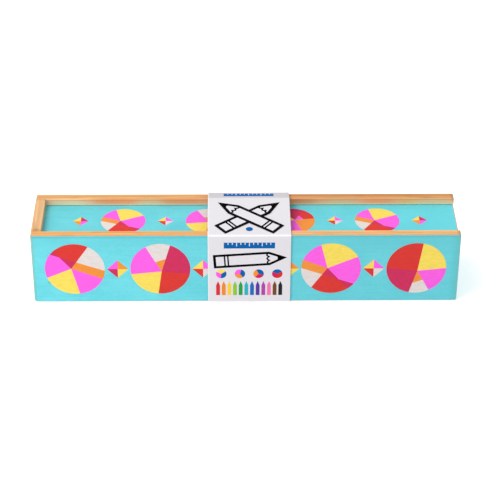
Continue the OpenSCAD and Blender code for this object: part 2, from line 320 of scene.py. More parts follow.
def painted_pine(name, painted, along, pith, seed, tone, wood_spots=(), paint_spots=(), coat=1.0):
    """Acrylic paint rolled on planed pine. The paint is nearly matt, and shows the grain as faint lines and
    the roller as a stipple. Bare wood is open and matt, pale and orange by turns, with no clear highlight.
    painted is a function that says where the paint is, from the place and the direction of the surface.
    tone is the colour that this board's wood leans to, and how far. coat below 1 darkens the paint, as
    painted shade."""
    wood = settings("wood")
    material, tree, place_mm = new_material(name)
    facing = add(tree, "SeparateXYZ", (add(tree, "TexCoord", out="Normal"),), None).outputs
    where = add(tree, "SeparateXYZ", (place_mm,), None).outputs
    figure, height = pine_figure(tree, place_mm, facing, along, pith, seed)
    figure = add(tree, "Mix", {0: tone[1], 6: figure, 7: linear(tone[0])}, **COLOURS)
    for spot in wood_spots:
        figure = smudge(tree, place_mm, figure, *spot)
    frayed = streaks(tree, place_mm, (3.0, 3.0, 3.0), 3.0)
    ragged = add(tree, "MapRange", (frayed, 0.3, 0.7, -0.12, 0.12))
    mask = painted(tree, where, facing, ragged)
    # How thick the roller left the paint: marks along the board, clouds and a stipple
    marks = streaks(tree, place_mm, (24.0, 0.9, 0.7) if along == "X" else (0.9, 24.0, 0.7), 3.0, 0.6)
    clouds = streaks(tree, place_mm, (16.0, 12.0, 7.0), 3.0)
    stipple = streaks(tree, place_mm, (1.1, 1.1, 1.1))
    cover = add(tree, "Math", (stipple, 0.5, clouds), operation="MULTIPLY_ADD")
    cover = add(tree, "Math", (marks, 0.7, cover), operation="MULTIPLY_ADD")
    # A coat below 1 darkens the paint as painted shade
    thick, thin = (
        (*(coat * part for part in tuple(shade)[:3]), 1.0) for shade in (wood.paint, wood.paint_shade)
    )
    paint = laid_over(tree, thick, thin, cover, 0.85, 1.35)
    for spot in paint_spots:
        paint = smudge(tree, place_mm, paint, *spot)
    filled = add(tree, "MapRange", (mask, 0.0, 1.0, 1.0, 0.4))
    softened = add(tree, "Math", (height, filled), operation="MULTIPLY")
    return finish(material, softened, depth_mm=0.03, strength=0.6, sockets={
        "Base Color": add(tree, "Mix", {0: mask, 6: figure, 7: paint}, **COLOURS),
        "Roughness": 0.55,
        "Specular IOR Level": 0.35,
    })


def paint_on_walls(tree, where, facing, ragged):
    """Paint on the outer faces of the walls, up to the sanded top edges. At the upright corners, where both
    directions of the surface are far from zero, it is thinner, partly from wear and partly as painted shade
    that tones down their highlight, and gone towards the top."""
    wood = settings("wood")
    outer = []
    for axis in (0, 1):
        half = BOX_HIGH[axis] / MM
        away = add(tree, "Math", (where[axis],), operation="ABSOLUTE")
        outside = add(tree, "MapRange", (away, half - 2.0, half - 1.9))
        tilt = add(tree, "Math", (facing[axis],), operation="ABSOLUTE")
        upright = add(tree, "MapRange", (tilt, 0.40, 0.45))
        outer.append(add(tree, "Math", (outside, upright), operation="MULTIPLY"))
    cover = add(tree, "Math", outer, operation="MAXIMUM")
    lift = add(tree, "Math", (facing[2], ragged), operation="ADD")
    level = add(tree, "MapRange", (lift, 0.88, 0.78))
    top = (BOX_HIGH[2] - wood.bare_edge) / MM
    height = add(tree, "Math", (where[2], ragged), operation="ADD")
    below = add(tree, "MapRange", (height, top + 0.05, top - 0.05))
    lower = add(tree, "Math", (below, level), operation="MINIMUM")
    turning = add(tree, "Math", (facing[0], facing[1]), operation="MULTIPLY")
    corner = add(tree, "Math", (turning,), operation="ABSOLUTE")
    rubbed = add(tree, "MapRange", (where[2], top - wood.worn_height / MM, top, -0.2, 0.0))
    worn = add(tree, "Math", (corner, rubbed), operation="ADD")
    worn = add(tree, "Math", (ragged, 0.4, worn), operation="MULTIPLY_ADD")
    kept = add(tree, "MapRange", (worn, 0.46, 0.42))
    # Thinner paint at the corners: partly wear, partly painted shade against their highlight
    corner_wear_and_shade = add(tree, "Math", (corner, ragged), operation="ADD")
    thin = add(tree, "MapRange", (corner_wear_and_shade, 0.25, 0.45, 1.0, 0.8))
    for share in (lower, kept, thin):
        cover = add(tree, "Math", (cover, share), operation="MULTIPLY")
    return cover


def paint_on_lid(tree, where, facing, ragged):
    """Paint on the top of the lid, up to the sanded edge at its mouth end."""
    edge = (LID_HIGH[0] - settings("wood").bare_end) / MM
    reach = add(tree, "Math", (where[0], ragged), operation="ADD")
    short = add(tree, "MapRange", (reach, edge + 0.05, edge - 0.05))
    upward = add(tree, "MapRange", (facing[2], 0.5, 0.6))
    return add(tree, "Math", (upward, short), operation="MULTIPLY")


def screen_ink(name, speck=0.35, shine=0.25):
    """Printed ink: flat colour from the piece's own ink attribute, with the faint grain of what it lies
    on. On paint it is a little glossier than the paint, and on card it sinks in and has hardly any shine."""
    material, tree, place_mm = new_material(name)
    ink = add(tree, "Attribute", out="Color", attribute_name="ink")
    blotches = streaks(tree, place_mm, (2.4, 0.9, 0.9), 3.0, 0.7)
    grain = streaks(tree, place_mm, (26.0, 0.7, 0.55), 3.0, 0.6)
    return finish(material, grain, depth_mm=0.02, strength=0.5, sockets={
        "Base Color": mottled(tree, ink, blotches, 1.0 - 0.3 * speck, 1.02),
        "Roughness": 0.5,
        "Specular IOR Level": shine,
    })


def folding_card():
    """Uncoated folding boxboard: pale grey and matt with a faint felt, white where a fold has cracked it
    and at the roughened cut edge, where the white is partly painted highlight, and greyer on the strip behind
    the crease, which is painted shade."""
    sleeve = settings("sleeve")
    material, tree, place_mm = new_material("uncoated boxboard")
    cracked = add(tree, "Attribute", out="Fac", attribute_name="fold")
    handled = add(tree, "Attribute", out="Fac", attribute_name="handled")
    # Real fibres are 0.03 mm wide, and this felt is as coarse as it needs to be to show
    felt = streaks(tree, place_mm, (0.5, 0.5, 0.5), 4.0, 0.7)
    clean = add(tree, "MapRange", (felt, 0.3, 0.7, 0.965, 1.0))
    shade = add(tree, "Math", (clean, handled), operation="SUBTRACT")
    card = shaded(tree, tuple(sleeve.card), shade)
    return finish(material, felt, depth_mm=0.02, strength=0.5, sockets={
        "Base Color": add(tree, "Mix", {0: cracked, 6: card, 7: tuple(sleeve.fold_colour)}, **COLOURS),
        "Roughness": 0.75,
        "Specular IOR Level": 0.3,
    })


def lacquer(name, code):
    """Dipped pencil lacquer: opaque, smooth and glossy, with the slight ripple of the wood under it."""
    material, tree, place_mm = new_material(name)
    ripple = streaks(tree, place_mm, (18.0, 0.9, 0.9))
    return finish(material, ripple, depth_mm=0.02, strength=0.4, sockets={
        "Base Color": mottled(tree, linear(code), ripple, 0.93),
        "Roughness": 0.22,
        "Coat Weight": 0.4,
    })


def pigment(name, code):
    """Wax-bound pigment core: dense colour, nearly matt, with the fine marks of the sharpener."""
    material, tree, place_mm = new_material(name)
    marks = streaks(tree, place_mm, (0.4, 0.9, 0.9), 3.0, 0.7)
    return finish(material, marks, depth_mm=0.03, strength=0.6, sockets={
        "Base Color": mottled(tree, linear(code), marks, 0.85),
        "Roughness": 0.55,
    })


def cut_cedar():
    """Cedar as the sharpener leaves it: warm and dry, with the grain running along the pencil."""
    material, tree, place_mm = new_material("cut cedar")
    fibres = streaks(tree, place_mm, (9.0, 0.3, 0.3), 3.0, 0.6)
    pale, pores = tuple(settings("contents").cedar), linear("#B98352")
    return finish(material, fibres, depth_mm=0.04, strength=0.7, sockets={
        "Base Color": laid_over(tree, pale, pores, fibres, 0.35, 0.7, 0.6),
        "Roughness": 0.7,
    })


def lacquered_beech():
    """Lacquered beech: pale and close, with short dark flecks along the grain and a soft gloss."""
    material, tree, place_mm = new_material("lacquered beech")
    fibres = streaks(tree, place_mm, (20.0, 0.5, 0.5), 3.0, 0.6)
    flecks = streaks(tree, place_mm, (1.8, 0.25, 0.25), 1.0)
    pale, grain, dark = tuple(settings("contents").ruler_wood), linear("#D0A46F"), linear("#A9773F")
    base = laid_over(tree, pale, grain, fibres, 0.3, 0.7, 0.5)
    return finish(material, fibres, depth_mm=0.02, strength=0.4, sockets={
        "Base Color": laid_over(tree, base, dark, flecks, 0.66, 0.74, 0.5),
        "Roughness": 0.32,
    })


def birch_ply():
    """Bare birch plywood: pale, close-grained and matt, with wide soft figure along the board."""
    material, tree, place_mm = new_material("bare birch ply")
    figure = streaks(tree, place_mm, (45.0, 5.0, 0.8), 3.0, 0.55)
    fibres = streaks(tree, place_mm, (8.0, 0.3, 0.3))
    pale, grain, pores = (linear(code) for code in ("#E9C998", "#D9AE76", "#B98950"))
    base = laid_over(tree, pale, grain, figure, 0.35, 0.65)
    return finish(material, fibres, depth_mm=0.03, strength=0.5, sockets={
        "Base Color": laid_over(tree, base, pores, fibres, 0.5, 0.8, 0.35),
        "Roughness": 0.66,
    })


def worked_metal(name, shade, sizes, smooth, rough, depth_mm):
    """A bare metal whose gloss and fine relief vary in lines of these sizes in millimetres."""
    material, tree, place_mm = new_material(name)
    lines = streaks(tree, place_mm, sizes)
    return finish(material, lines, depth_mm=depth_mm, strength=0.5, sockets={
        "Base Color": tuple(shade),
        "Metallic": 1.0,
        "Roughness": add(tree, "MapRange", (lines, 0.3, 0.7, smooth, rough)),
    })


# Meshes


def new_piece(name, points, faces, materials, body, replaced=(), face_materials=None, smooth=False):
    """A mesh object from arrays of points and faces, riding on its body."""
    mesh = bpy.data.meshes.new(name)
    mesh.from_pydata(np.asarray(points, float).tolist(), [], [list(map(int, face)) for face in faces])
    for material in materials:
        mesh.materials.append(material)
    if face_materials is not None:
        mesh.polygons.foreach_set("material_index", np.asarray(face_materials, np.int32))
    if smooth:
        mesh.polygons.foreach_set("use_smooth", np.ones(len(mesh.polygons), bool))
    mesh.update()
    piece = bpy.data.objects.new(name, mesh)
    bpy.context.scene.collection.objects.link(piece)
    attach(piece, body)
    if replaced:
        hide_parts(*replaced)
    return piece


def grid_faces(rows, columns, round_rows=False, round_columns=False):
    """The quads of a grid of points, as rows of four point numbers. A round direction joins its end to
    its start."""
    i = np.arange(rows if round_rows else rows - 1)
    j = np.arange(columns if round_columns else columns - 1)
    i, j = (a.ravel() for a in np.meshgrid(i, j, indexing="ij"))
    k, m = (i + 1) % rows, (j + 1) % columns
    return np.stack([i * columns + j, k * columns + j, k * columns + m, i * columns + m], 1)


def turned(profile, axis_y, axis_z, sides=48, wobble=None):
    """Points of a shape turned about a line along X: point (i, j) lies at profile[i] = (along, radius), at
    angle 2 pi j / sides round the line. wobble[i, j], if given, moves it along the line."""
    angle = 2 * np.pi * np.arange(sides) / sides
    along = np.repeat(profile[:, :1], sides, 1)
    if wobble is not None:
        along = along + wobble
    y = axis_y + profile[:, 1:] * np.cos(angle)
    z = axis_z + profile[:, 1:] * np.sin(angle)
    return np.stack([along, y, z], 2).reshape(-1, 3)


def weld(piece):
    """Merges points that lie together, so that poles and seams close, and points the faces outwards."""
    shape = bmesh.new()
    shape.from_mesh(piece.data)
    bmesh.ops.remove_doubles(shape, verts=shape.verts, dist=1e-7)
    bmesh.ops.dissolve_degenerate(shape, edges=shape.edges, dist=1e-8)
    bmesh.ops.recalc_face_normals(shape, faces=shape.faces)
    shape.to_mesh(piece.data)
    shape.free()


def thicken(piece, thickness, offset):
    """Gives a sheet its thickness, with its rim closed."""
    wall = piece.modifiers.new("thickness", "SOLIDIFY")
    wall.thickness = thickness
    wall.offset = offset
    wall.use_even_offset = True


# Flat prints, drawn as arrays in a plane


def disc(radius, sides=72):
    """Points round a circle, anticlockwise."""
    angle = 2 * np.pi * np.arange(sides) / sides
    return radius * np.stack([np.cos(angle), np.sin(angle)], 1)


def diamond(half_width, half_height):
    """The corners of a diamond, anticlockwise."""
    return np.array([[half_width, 0], [0, half_height], [-half_width, 0], [0, -half_height]], float)


def cut_blocks(outline, hub, spokes, band_angle, band_offset):
    """Cuts a convex outline into blocks. Straight cuts run outwards from the hub at the angles of spokes,
    and one more cut, the band, runs at right angles to band_angle at band_offset past the hub.
    Returns the points, the triangles, and for each triangle the number of its block: the number of the
    spokes that it lies past, and as many again as there are spokes if it lies beyond the band."""
    reach = 4 * np.abs(outline).max()
    rays = hub + reach * np.stack([np.cos(spokes), np.sin(spokes)], 1)
    across = np.array([np.cos(band_angle), np.sin(band_angle)])
    along = np.array([-across[1], across[0]])
    band = hub + band_offset * across + np.array([[-reach], [reach]]) * along
    points = np.concatenate([outline, [hub], rays, band])
    count, hub_at, cuts = len(outline), len(outline), len(spokes)
    edges = [(i, (i + 1) % count) for i in range(count)]
    edges += [(hub_at, hub_at + 1 + i) for i in range(cuts)]
    edges.append((hub_at + cuts + 1, hub_at + cuts + 2))
    made = delaunay_2d_cdt([Vector(p) for p in points], edges, [], 0, 1e-9)
    points = np.array([tuple(p) for p in made[0]])
    triangles = np.array(made[2])
    middle = points[triangles].mean(1)
    ahead = np.roll(outline, -1, 0) - outline
    away = middle[:, None] - outline[None]
    inside = (ahead[:, 0] * away[..., 1] - ahead[:, 1] * away[..., 0] > 0).all(1)
    used, triangles = np.unique(triangles[inside], return_inverse=True)
    points, triangles = points[used], triangles.reshape(-1, 3)
    middle = middle[inside] - hub
    turn = (np.arctan2(middle[:, 1], middle[:, 0]) - spokes[0]) % (2 * np.pi)
    starts = (spokes - spokes[0]) % (2 * np.pi)
    block = np.searchsorted(starts, turn, side="right") - 1
    return points, triangles, block + cuts * (middle @ across > band_offset)


def stroke(points, width, closed=False):
    """A line of that width along a path, as points and quads: each point of the path gives one point on
    either side, along the mean of the directions across the stretches that meet there."""
    points = np.asarray(points, float)
    ahead = np.roll(points, -1, 0) - points
    if not closed:
        ahead[-1] = ahead[-2]
    ahead /= np.linalg.norm(ahead, axis=1, keepdims=True)
    behind = np.roll(ahead, 1, 0)
    if not closed:
        behind[0] = ahead[0]
    across = np.stack([-ahead[:, 1] - behind[:, 1], ahead[:, 0] + behind[:, 0]], 1)
    across /= (across * across).sum(1, keepdims=True) / 2
    sides = np.stack([points - across * width / 2, points + across * width / 2], 1).reshape(-1, 2)
    count = len(points)
    i = np.arange(count if closed else count - 1)
    k = (i + 1) % count
    return sides, np.stack([2 * i, 2 * k, 2 * k + 1, 2 * i + 1], 1)


class Print:
    """Flat shapes gathered for one printed sheet, each with its colour and its level over the last ink."""

    level_step = 0.006 * MM

    def __init__(self):
        self.points, self.faces, self.inks = [], [], []

    def put(self, points, faces, inks, level=0):
        """Adds a shape. inks is one colour, or one for each of its faces."""
        start = sum(len(p) for p in self.points)
        points = np.asarray(points, float)
        self.points.append(np.column_stack([points, np.full(len(points), level * self.level_step)]))
        self.faces += [[int(i) + start for i in face] for face in faces]
        inks = np.asarray(inks, float)
        self.inks.append(np.broadcast_to(inks, (len(faces), 4)) if inks.ndim == 1 else inks)

    def fill(self, outline, ink, level=0):
        """Adds a filled outline."""
        self.put(outline, [range(len(outline))], ink, level)

    def line(self, points, width, ink, closed=False, level=0):
        """Adds a drawn line."""
        self.put(*stroke(points, width, closed), ink, level)

    def lay(self, name, origin, across, up, depth, material, body, slot):
        """Lays the sheet on a flat surface: a point (a, b) goes to origin + a across + b up, and its
        level lifts it at right angles to both."""
        out = np.cross(across, up)
        points = np.asarray(origin) + np.concatenate(self.points) @ np.array([across, up, out])
        piece = new_piece(name, points, self.faces, [material], body)
        sizes = np.array([len(face) for face in self.faces])
        attribute = piece.data.color_attributes.new("ink", "FLOAT_COLOR", "CORNER")
        attribute.data.foreach_set("color", np.repeat(np.concatenate(self.inks), sizes, 0).ravel())
        thicken(piece, depth, 1.0)
        return piece


INKS = ("pink", "crimson", "yellow", "orange", "red", "white")
PINK, CRIMSON, YELLOW, ORANGE, RED, WHITE = range(len(INKS))

# How each motif is cut: its hub, the angles of its spokes, and the angle and the distance of its band. Angles
# are in degrees, and lengths are shares of its half size, so a band at 3 misses it. The inks of its blocks
# follow, first those inside the band and then those beyond it.
DISC_CUTS = (
    (
        (0.10, 0.06), (8, 62, 131, 200, 288), 35, 0.36,
        (PINK, CRIMSON, YELLOW, PINK, ORANGE, RED, CRIMSON, YELLOW, PINK, ORANGE),
    ),
    (
        (-0.12, 0.02), (24, 104, 158, 236, 310), 250, 0.30,
        (YELLOW, PINK, ORANGE, CRIMSON, PINK, YELLOW, PINK, WHITE, RED, CRIMSON),
    ),
    (
        (0.04, -0.10), (-6, 74, 118, 186, 262), 110, 0.42,
        (CRIMSON, ORANGE, PINK, YELLOW, RED, CRIMSON, WHITE, PINK, YELLOW, RED),
    ),
)
DIAMOND_CUTS = (
    ((0.0, 0.0), (0, 90, 180, 270), 45, 3.0, (ORANGE, PINK, CRIMSON, YELLOW) * 2),
    ((0.0, 0.0), (0, 90, 180, 270), 45, 3.0, (PINK, YELLOW, RED, WHITE) * 2),
)


def block_print(low_x, high_x, low_v, high_v, first_is_disc):
    """Discs and diamonds in turn along a face, centred on it, each cut into blocks of colour. One that
    would come nearer to an end of the face than the margin is left out."""
    wanted = settings("print")
    inks = np.array([tuple(getattr(wanted, name)) for name in INKS])
    width, height = high_x - low_x, high_v - low_v
    middle = np.array([(low_x + high_x) / 2, (low_v + high_v) / 2])
    margin = height * 0.06
    half = int(width / wanted.pitch)
    sheet = Print()
    for step in range(-half, half + 1):
        is_disc = (step % 2 == 0) == first_is_disc
        size = height * (wanted.disc_share if is_disc else wanted.diamond_share) / 2
        shift = step * wanted.pitch / 2
        if abs(shift) + size > width / 2 - margin:
            continue
        choices = DISC_CUTS if is_disc else DIAMOND_CUTS
        hub, spokes, band_angle, band_share, blocks = choices[(step // 2) % len(choices)]
        turned_by = 0 if step % 4 else math.pi
        points, triangles, block = cut_blocks(
            disc(size) if is_disc else diamond(size, size),
            size * np.array(hub),
            np.radians(np.array(spokes, float)) + turned_by,
            math.radians(band_angle) + turned_by,
            size * band_share,
        )
        sheet.put(points + middle + (shift, 0), triangles, inks[np.array(blocks)[block]])
    return sheet


# Operators, one for each piece or group of like pieces


class PENCILBOX_OT_stage(bpy.types.Operator):
    """Sets up the camera, the lamps, the sky and the floor"""

    bl_idname = "pencil_box.stage"
    bl_label = "Stage"
    # In metres: where the lamps stand, the side of each, the point that they face, and half the floor's side
    key_place, key_side = (-1.05, -0.42, 1.75), 1.2
    fill_place, fill_side = (-0.46, -0.44, 0.18), 0.3
    aim, floor_half = (0.0, 0.0, 0.02), 3.0
    # How much light of its own the floor shows to the camera
    floor_glow = 0.42

    def execute(self, context):
        wanted = settings("stage")
        scene = context.scene
        scene.view_settings.view_transform = "Standard"
        view = bpy.data.cameras.new("camera")
        view.sensor_width = 36
        view.lens = wanted.lens
        view.clip_start = 0.01
        camera = bpy.data.objects.new("camera", view)
        camera.matrix_world = (
            Matrix.Translation(wanted.camera_place)
            @ Matrix.Rotation(-wanted.yaw, 4, "Z")
            @ Matrix.Rotation(math.pi / 2 - wanted.pitch, 4, "X")
            @ Matrix.Rotation(wanted.roll, 4, "Z")
        )
        scene.collection.objects.link(camera)
        scene.camera = camera
        self.add_lamp(scene, "key lamp", self.key_place, self.key_side, wanted.key)
        self.add_lamp(scene, "fill lamp", self.fill_place, self.fill_side, wanted.fill)
        self.add_sky(scene, wanted)
        self.add_floor(scene, wanted)
        return {"FINISHED"}

    def add_lamp(self, scene, name, place, side, power):
        """A square soft lamp that faces the box."""
        lamp = bpy.data.lights.new(name, "AREA")
        lamp.shape = "SQUARE"
        lamp.size = side
        lamp.energy = power
        holder = bpy.data.objects.new(name, lamp)
        holder.location = place
        holder.rotation_euler = (Vector(self.aim) - Vector(place)).to_track_quat("-Z", "Y").to_euler()
        scene.collection.objects.link(holder)

    def add_sky(self, scene, wanted):
        """White wherever the camera or a reflection sees it, and a plain level of light elsewhere."""
        world = bpy.data.worlds.new("studio")
        tree = empty_tree(world)
        rays = add(tree, "LightPath", out=None).outputs
        seen = rays["Is Camera Ray"]
        for kind in ("Is Glossy Ray", "Is Transmission Ray"):
            seen = add(tree, "Math", (seen, rays[kind]), operation="MAXIMUM")
        strength = add(tree, "MapRange", (seen, 0.0, 1.0, wanted.sky, 1.0))
        sky = add(tree, "Background", {"Color": (1, 1, 1, 1), "Strength": strength})
        add(tree, "OutputWorld", (sky,), None)
        scene.world = world

    def add_floor(self, scene, wanted):
        """A plain sheet under the box, a touch brighter to the camera, which keeps the shadow."""
        material = bpy.data.materials.new("studio floor")
        tree = empty_tree(material)
        matt = add(tree, "BsdfDiffuse", {"Color": tuple(wanted.floor_colour)})
        seen = add(tree, "LightPath", out="Is Camera Ray")
        strength = add(tree, "Math", (seen, self.floor_glow), operation="MULTIPLY")
        glow = add(tree, "Emission", {"Color": (1, 1, 1, 1), "Strength": strength})
        add(tree, "OutputMaterial", (add(tree, "AddShader", (matt, glow)),), None)
        mesh = bpy.data.meshes.new("studio_floor")
        ends = self.floor_half * np.array([[-1, -1], [1, -1], [1, 1], [-1, 1]])
        mesh.from_pydata(np.column_stack([ends, np.zeros(4)]).tolist(), [], [[0, 1, 2, 3]])
        mesh.materials.append(material)
        floor = bpy.data.objects.new("studio_floor", mesh)
        scene.collection.objects.link(floor)


def dress(node, *materials):
    """Gives a node of the frame its material in place of the plain one."""
    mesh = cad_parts[node].data
    mesh.materials.clear()
    for material in materials:
        mesh.materials.append(material)


class PENCILBOX_OT_walls(bpy.types.Operator):
    """Paints the outside of the four walls and leaves their top edges and insides bare"""

    bl_idname = "pencil_box.walls"
    bl_label = "Walls"

    def execute(self, context):
        left, front, top, inner = (v / MM for v in (BOX_LOW[0], BOX_LOW[1], BOX_HIGH[2], INNER_Y))
        # The box is centred on the origin
        right, back = -left, -front
        honey, red, pale, mouth = ("#F2AE5E", 0.3), ("#C98648", 0.42), ("#D6B18C", 0.5), "#B07838"
        # Each mark is its middle and its reach in millimetres, its colour and its strength
        front_marks_and_painted_shade = [
            ((0.0, front, top), (600.0, 3.0, 1.9), "#3C9C96", 0.4),
            ((0.0, front, top), (600.0, 6.0, 12.0), "#5CC4CE", 0.35),
            ((left + 8.2, front, 11.8), (1.5, 2.0, 1.3), "#58AFAE", 0.5),
            # Painted shade: the front is darker towards its right end, where the lamps' light falls off
            ((right, front, 20.0), (190.0, 6.0, 80.0), "#5DC2CC", 0.42),
            ((right, front, 20.0), (4.5, 2.0, 80.0), "#58B4B4", 0.35),
            # Painted shade: the upright corner at the left, towards the lamps, darkened against its highlight
            ((left, front, 15.0), (1.8, 1.8, 80.0), "#5E9F92", 0.6),
        ]
        front_edges_and_painted_shade = [
            ((0.0, -inner, top), (600.0, 0.9, 1.0), "#FFBC74", 0.4),
            # Painted shade: the outer top edge of the front, darkened against its highlight
            ((0.0, front, top), (600.0, 2.4, 1.1), "#CD8452", 0.6),
            ((right - 30.0, front + 2.4, top), (90.0, 4.0, 2.0), "#FFDCA8", 0.12),
            ((right, -inner - 2.4, top), (2.2, 6.0, 3.0), mouth, 0.6),
        ]
        end_edges = [
            ((left + 0.3, 0.0, top), (0.9, 200.0, 0.9), "#F2A052", 0.6),
            ((left + 2.5, 1.0 - inner, top), (2.6, 1.6, 1.0), "#B07C40", 0.7),
            ((left + 2.2, inner - 0.1, top), (3.4, 0.7, 1.0), "#C9823E", 0.6),
            ((left + 5.0, inner - 0.3, top), (0.9, 0.9, 1.5), "#8A6234", 0.7),
        ]
        # On the inner face above the lid, first its base colour, then red patches, pale patches, a pale low
        # line and a dark high one. Each is given by its distance from the closed end, its depth under the
        # edge, its reach along the box and upwards, its colour and its strength. All are only skin deep.
        halfway, skin = -left, 0.6
        tones = (
            (halfway, 3.0, 400.0, 6.0, "#FFBA8C", 0.92),
            (40.0, 1.5, 14.0, 3.4, "#F8985E", 0.6),
            (73.0, 1.5, 15.0, 3.4, "#F8985E", 0.62),
            (95.0, 1.5, 12.0, 3.4, "#F8985E", 0.4),
            (134.0, 1.6, 9.0, 3.4, "#E09A68", 0.6),
            (172.0, 1.5, 10.0, 3.4, "#F89A64", 0.5),
            (188.0, 1.6, 10.0, 3.4, "#FFC270", 0.55),
            (15.0, 2.0, 16.0, 3.4, "#FFE6C0", 0.7),
            (57.0, 2.2, 9.0, 3.0, "#E8D4A8", 0.55),
            (153.0, 2.2, 11.0, 3.0, "#EACF98", 0.55),
            (200.0, 2.2, 14.0, 3.2, "#F2DAA8", 0.55),
            # Painted light: the pale low line, just over the lid
            (halfway, 3.4, 400.0, 0.9, "#FFEACA", 0.6),
            (halfway, 0.6, 400.0, 0.8, "#B8743C", 0.3),
        )
        back_edges_and_painted_light = [
            ((left + along, inner, top - below), (reach, skin, tall), code, strength)
            for along, below, reach, tall, code, strength in tones
        ]
        back_edges_and_painted_light += [
            ((right - 50.0, back, top), (95.0, 5.0, 1.2), "#B06830", 0.58),
            # Painted highlight: a pale stretch of the back wall's inner top edge near the closed end
            ((left + 17.0, inner + 0.5, top), (16.0, 1.1, 0.8), "#FFD28C", 0.5),
            ((right, inner + 2.4, top), (2.2, 6.0, 3.0), mouth, 0.6),
        ]
        # Each board: its material, the axis of its grain, the place of its pith, its seed, tone and marks
        boards = {
            "front_wall": ("painted pine front", "X", (8.0, -18.0), 1.0, honey, front_edges_and_painted_shade, front_marks_and_painted_shade),
            "closed_end_wall": ("painted pine closed end", "Y", (-80.0, -14.0), 3.0, pale, end_edges),
            "back_wall": ("painted pine back", "X", (52.0, 14.0), 2.0, red, back_edges_and_painted_light),
            "low_end_wall": ("painted pine low end", "Y", (80.0, 60.0), 4.0, honey),
        }
        for node, (name, *board) in boards.items():
            dress(node, painted_pine(name, paint_on_walls, *board))
        dress("floor_panel", birch_ply())
        return {"FINISHED"}


class PENCILBOX_OT_wall_print(bpy.types.Operator):
    """Prints the block pattern on the front and the back of the box"""

    bl_idname = "pencil_box.wall_print"
    bl_label = "Wall print"

    def execute(self, context):
        depth, ink = settings("print").ink_depth, screen_ink("screen ink on the walls")
        # Each face: where it stands, which way its print runs, and whether a disc is at its middle
        faces = {"front_print": (BOX_LOW[1], 1, True), "back_print": (BOX_HIGH[1], -1, False)}
        for name, (y, way, first_is_disc) in faces.items():
            ends = sorted((way * BOX_LOW[0], way * BOX_HIGH[0]))
            sheet = block_print(*ends, BOX_LOW[2], BOX_HIGH[2], first_is_disc)
            sheet.lay(name, (0, y, 0), (way, 0, 0), (0, 0, 1), depth, ink, "box", "painted_pine")
        return {"FINISHED"}


class PENCILBOX_OT_lid(bpy.types.Operator):
    """Paints and prints the top of the lid"""

    bl_idname = "pencil_box.lid"
    bl_label = "Lid"
    # Its paint is this share as light as the walls', a painted shade on the top of the lid
    coat = 0.9

    def execute(self, context):
        right, top = LID_HIGH[0], LID_HIGH[2]
        honey = ("#EDB26E", 0.3)
        bluer = [((right / MM, 0.0, top / MM), (75.0, 60.0, 6.0), "#61D9E5", 0.5)]
        board = ("X", (-22.0, 8.0), 5.0, honey, (), bluer, self.coat)
        dress("lid", painted_pine("painted pine lid", paint_on_lid, *board))
        depth, ink = settings("print").ink_depth, screen_ink("screen ink on the lid")
        inner_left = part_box("closed_end_wall")[1].x
        sheet = block_print(inner_left, right, -INNER_Y, INNER_Y, False)
        sheet.lay("lid_print", (0, 0, top), (1, 0, 0), (0, 1, 0), depth, ink, "sliding_lid", "painted_pine")
        return {"FINISHED"}


def rounded_path(corner_points, radii, rows):
    """Points along a path with rounded corners: at each inner corner an arc of its radius that touches
    both stretches, and along each stretch rows of points that crowd towards its ends as a cosine does."""
    corner_points = np.asarray(corner_points, float)
    ends, arcs, arc_points = [corner_points[0]], [], 9
    for before, corner, after, radius in zip(corner_points, corner_points[1:], corner_points[2:], radii):
        back, ahead = before - corner, after - corner
        back, ahead = back / np.linalg.norm(back), ahead / np.linalg.norm(ahead)
        half = math.acos(np.clip(back @ ahead, -1, 1)) / 2
        centre = corner + (back + ahead) / np.linalg.norm(back + ahead) * radius / math.sin(half)
        start, end = corner + back * radius / math.tan(half), corner + ahead * radius / math.tan(half)
        arc = start + (end - start) * np.linspace(0, 1, arc_points)[1:-1, None] - centre
        arcs.append(centre + radius * arc / np.linalg.norm(arc, axis=1, keepdims=True))
        ends += [start, end]
    ends.append(corner_points[-1])
    share = (1 - np.cos(np.linspace(0, np.pi, rows)))[:, None] / 2
    stretches = [start + (end - start) * share for start, end in zip(ends[::2], ends[1::2])]
    parts = [part for pair in zip(stretches, [*arcs, np.empty((0, 2))]) for part in pair]
    return np.concatenate(parts)


